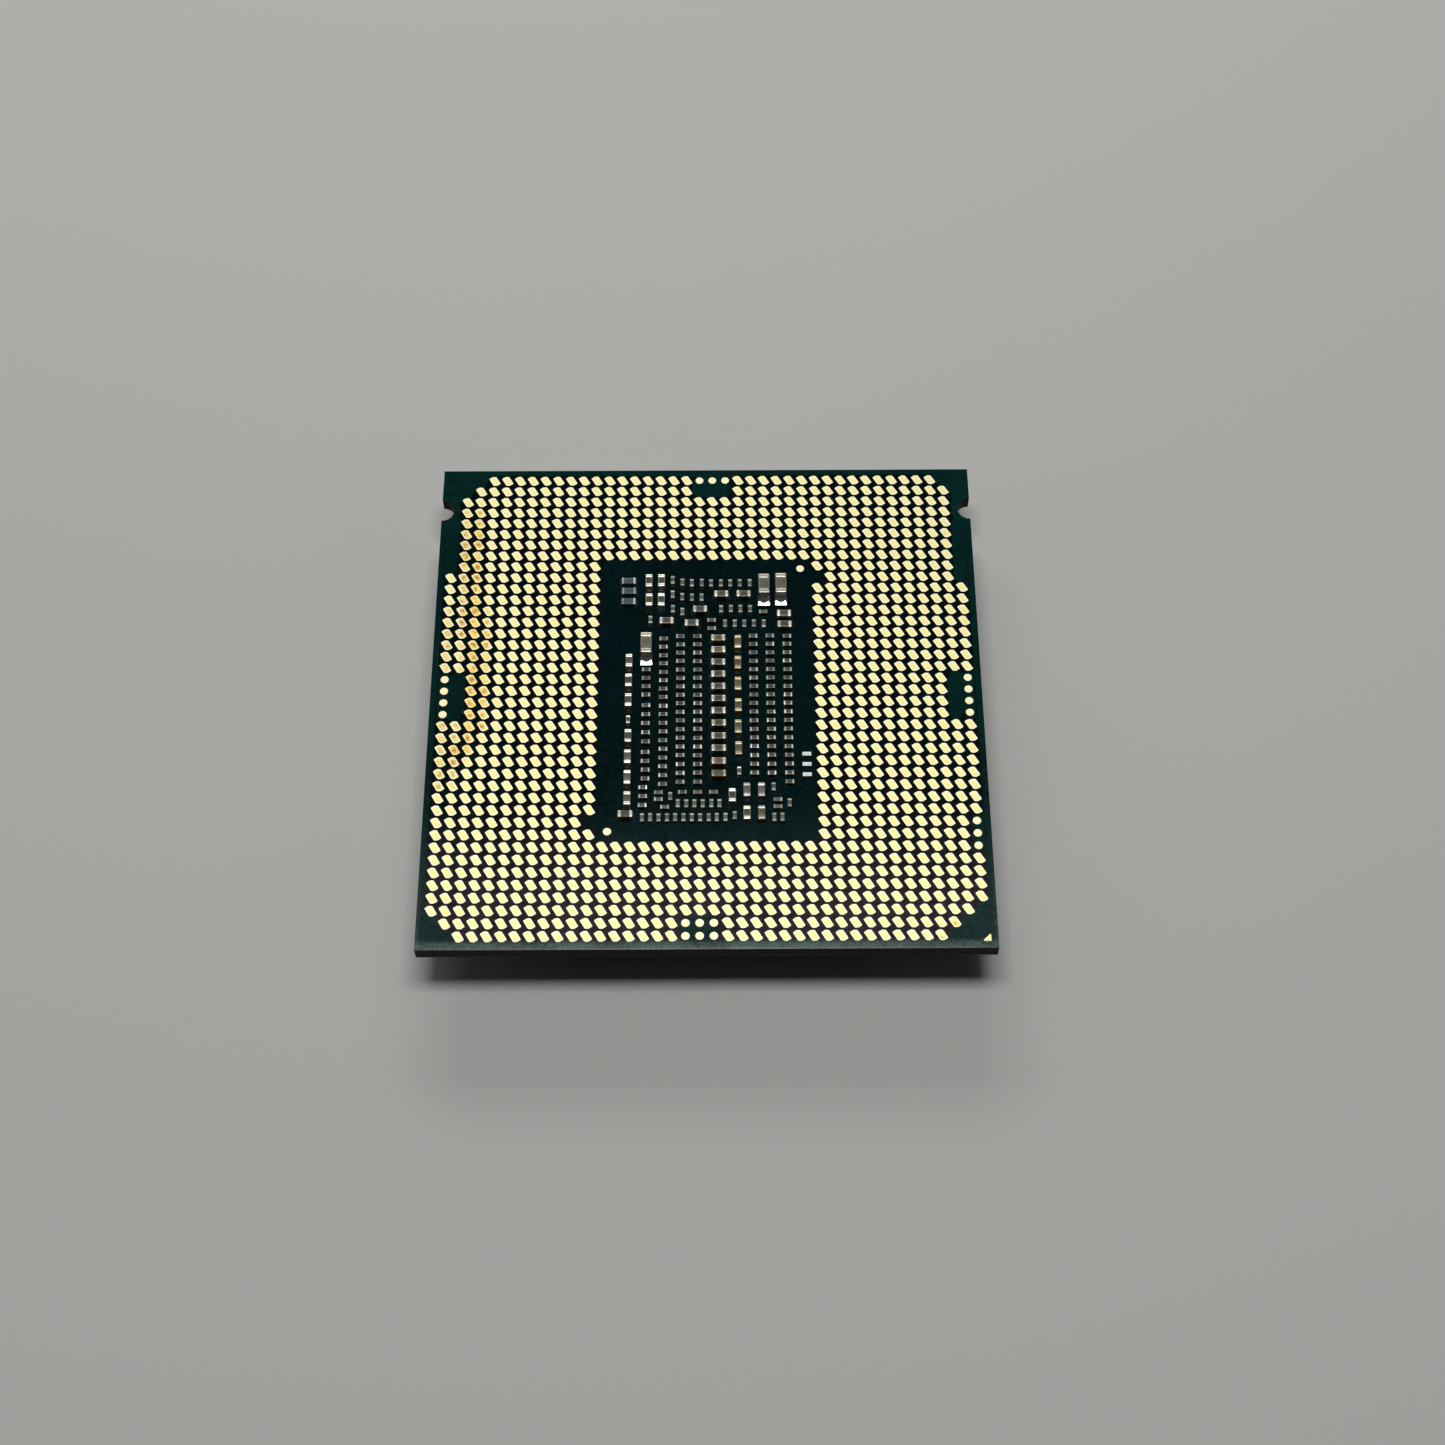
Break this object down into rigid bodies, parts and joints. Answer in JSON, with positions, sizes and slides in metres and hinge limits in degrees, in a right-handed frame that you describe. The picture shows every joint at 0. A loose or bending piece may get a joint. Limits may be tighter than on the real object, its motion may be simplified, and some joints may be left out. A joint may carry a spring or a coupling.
{
  "type": "cpu processor",
  "caption": "Square land-grid-array desktop processor: laminate substrate with contact lands and chip capacitors on one side, and a stepped metal heat spreader over the die on the other.",
  "frame": {"origin": "middle of the heat spreader's flat top face, which is the lowest face as modelled: the part lies on its lid with its contact lands up", "axes": "+Z from the lid's face towards the contact lands, +X right, +Y towards the end that carries the two key notches"},
  "size_m": [0.0376, 0.0376, 0.0052],
  "materials": {
    "land_gold": "gold flash over nickel, satin",
    "solder_mask": "dark teal green, glossy",
    "copper": "bare copper",
    "dielectric": "resin, dark amber",
    "laminate": "glass-epoxy, brown cut edge",
    "nickel_plate": "nickel plate, fine brushed",
    "sealant": "cured silicone",
    "silicon": "ground silicon",
    "thermal_compound": "grey compound",
    "underfill": "black epoxy",
    "solder": "reflowed solder",
    "ink": "printed ink",
    "tin_terminal": "matt tin plate",
    "resistor_coat": "blue glaze",
    "ceramic_brown": "fired ceramic, grey-brown",
    "ceramic_grey": "fired ceramic, grey"
  },
  "bodies": {
    "root": {"alignment_marks": "land_gold", "buildup_die_side": "dielectric", "buildup_land_side": "dielectric", "core_vias": "copper", "ground_plane": "copper", "heat_spreader": "nickel_plate", "lands_back": "land_gold", "lands_front": "land_gold", "lands_left": "land_gold", "lands_right": "land_gold", "large_capacitors_bodies": "ceramic_brown", "large_capacitors_terminals": "tin_terminal", "lid_adhesive": "sealant", "medium_capacitors_back_bodies": "ceramic_brown", "medium_capacitors_back_terminals": "tin_terminal", "medium_capacitors_centre_bodies": "ceramic_brown", "medium_capacitors_centre_terminals": "tin_terminal", "medium_capacitors_front_bodies": "ceramic_brown", "medium_capacitors_front_terminals": "tin_terminal", "medium_capacitors_left_bodies": "ceramic_brown", "medium_capacitors_left_terminals": "tin_terminal", "medium_capacitors_right_bodies": "ceramic_brown", "medium_capacitors_right_terminals": "tin_terminal", "pin_one_marker_die_side": "land_gold", "pin_one_marker_land_side": "land_gold", "power_plane": "copper", "printed_bars": "ink", "resistors_bodies": "resistor_coat", "resistors_terminals": "tin_terminal", "silicon_die": "silicon", "small_capacitors_back_bodies": "ceramic_grey", "small_capacitors_back_terminals": "tin_terminal", "small_capacitors_centre_bodies": "ceramic_grey", "small_capacitors_centre_terminals": "tin_terminal", "small_capacitors_front_bodies": "ceramic_grey", "small_capacitors_front_terminals": "tin_terminal", "small_capacitors_left_bodies": "ceramic_grey", "small_capacitors_left_terminals": "tin_terminal", "small_capacitors_right_bodies": "ceramic_grey", "small_capacitors_right_terminals": "tin_terminal", "solder_bumps": "solder", "solder_joints_flat": "solder", "solder_joints_large": "solder", "solder_joints_medium": "solder", "solder_joints_small": "solder", "solder_mask_die_side": "solder_mask", "solder_mask_land_side": "solder_mask", "substrate_core": "laminate", "test_lands": "land_gold", "thermal_compound": "thermal_compound", "underfill": "underfill"}
  },
  "joints": []
}
